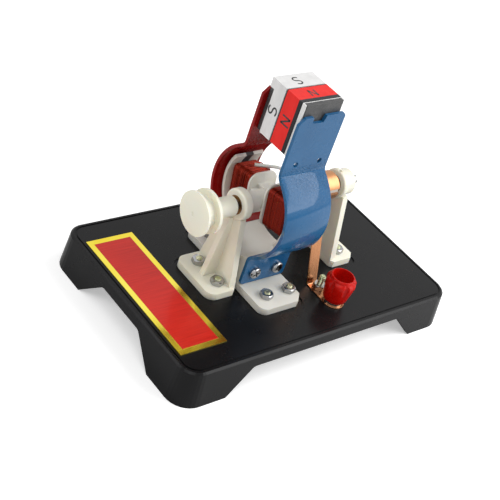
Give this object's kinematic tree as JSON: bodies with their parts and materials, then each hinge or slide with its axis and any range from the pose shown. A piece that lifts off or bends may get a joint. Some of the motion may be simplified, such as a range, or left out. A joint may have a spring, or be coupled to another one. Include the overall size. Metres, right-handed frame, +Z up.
{
  "type": "demonstration direct current motor",
  "caption": "Open model direct current motor: wound rotor with commutator and brushes between bent pole strips under a lift-out bar magnet, on a legged tray.",
  "frame": {"origin": "centre of the tray's footprint, on the table", "axes": "+X along the shaft from the pulley to the commutator, +Y to the back, +Z up"},
  "size_m": [0.1598, 0.1022, 0.1127],
  "materials": {
    "tray_black": "glossy moulded plastic with a fine grain",
    "label_red": "glossy printed strip with a gold edge",
    "nylon_white": "translucent moulded nylon, satin",
    "bronze": "oiled sintered bronze",
    "steel": "bright plated steel",
    "yellow_zinc": "yellow passivated steel thread",
    "blue_enamel": "gloss blue enamel",
    "red_enamel": "gloss red enamel",
    "ferrite": "dark grey ferrite",
    "cover_white": "gloss white cover",
    "cover_red": "gloss red cover",
    "stack_iron": "dark stacked iron",
    "shaft_steel": "ground steel",
    "enamelled_wire": "copper wire in clear dark red enamel",
    "sleeve_white": "soft white sleeving",
    "copper": "bright rolled copper",
    "core_grey": "pale moulded plastic",
    "terminal_brass": "turned brass",
    "knob_red": "glossy red moulded plastic",
    "knob_black": "glossy black moulded plastic"
  },
  "bodies": {
    "base": {"base_tray": "tray_black", "label_plate": "label_red", "left_bearing_bracket": "nylon_white", "right_bearing_bracket": "nylon_white", "left_bush": "bronze", "right_bush": "bronze", "bracket_bolts": "yellow_zinc", "bracket_nuts": "steel", "stator_saddle": "nylon_white", "saddle_bolts": "yellow_zinc", "saddle_nuts": "steel", "front_pole_strip": "blue_enamel", "rear_pole_strip": "red_enamel", "pole_screws": "steel", "front_brush": "copper", "rear_brush": "copper", "brush_bolts": "yellow_zinc", "brush_nuts": "steel", "front_stud": "terminal_brass", "rear_stud": "terminal_brass", "stud_nuts": "steel"},
    "rotor": {"shaft": "shaft_steel", "pulley": "nylon_white", "rotor_core": "stack_iron", "rotor_frame_left": "nylon_white", "rotor_frame_right": "nylon_white", "front_coil": "enamelled_wire", "rear_coil": "enamelled_wire", "front_lead": "sleeve_white", "rear_lead": "sleeve_white", "commutator_core": "core_grey", "upper_segment": "copper", "lower_segment": "copper"},
    "magnet": {"magnet_core": "ferrite", "south_cover": "cover_white", "north_cover": "cover_red", "magnet_front_frame": "cover_white"},
    "front_washer": {"front_washer": "steel"},
    "front_knob": {"front_knob": "knob_red"},
    "rear_washer": {"rear_washer": "steel"},
    "rear_knob": {"rear_knob": "knob_black"}
  },
  "joints": [
    {"name": "rotor_spin", "type": "hinge", "parent": "base", "child": "rotor", "pos_m": [0, 0, 0.0574], "axis": [1, 0, 0], "continuous": true},
    {"name": "magnet_lift", "type": "slide", "parent": "base", "child": "magnet", "axis": [0, 0, 1], "range_m": [0, 0.03]},
    {"name": "front_washer_rise", "type": "slide", "parent": "base", "child": "front_washer", "axis": [0, 0, 1], "range_m": [0, 0.0028]},
    {"name": "front_knob_turn", "type": "hinge", "parent": "front_washer", "child": "front_knob", "pos_m": [0.014, -0.033, 0.0194], "axis": [0, 0, 1], "range_deg": [0, 1440]},
    {"name": "rear_washer_rise", "type": "slide", "parent": "base", "child": "rear_washer", "axis": [0, 0, 1], "range_m": [0, 0.0028]},
    {"name": "rear_knob_turn", "type": "hinge", "parent": "rear_washer", "child": "rear_knob", "pos_m": [0.014, 0.033, 0.0194], "axis": [0, 0, 1], "range_deg": [0, 1440]}
  ],
  "couplings": [
    {"joint": "front_knob_turn", "follows": "front_washer_rise", "rad_per_m": 8975.9},
    {"joint": "rear_knob_turn", "follows": "rear_washer_rise", "rad_per_m": 8975.9}
  ]
}
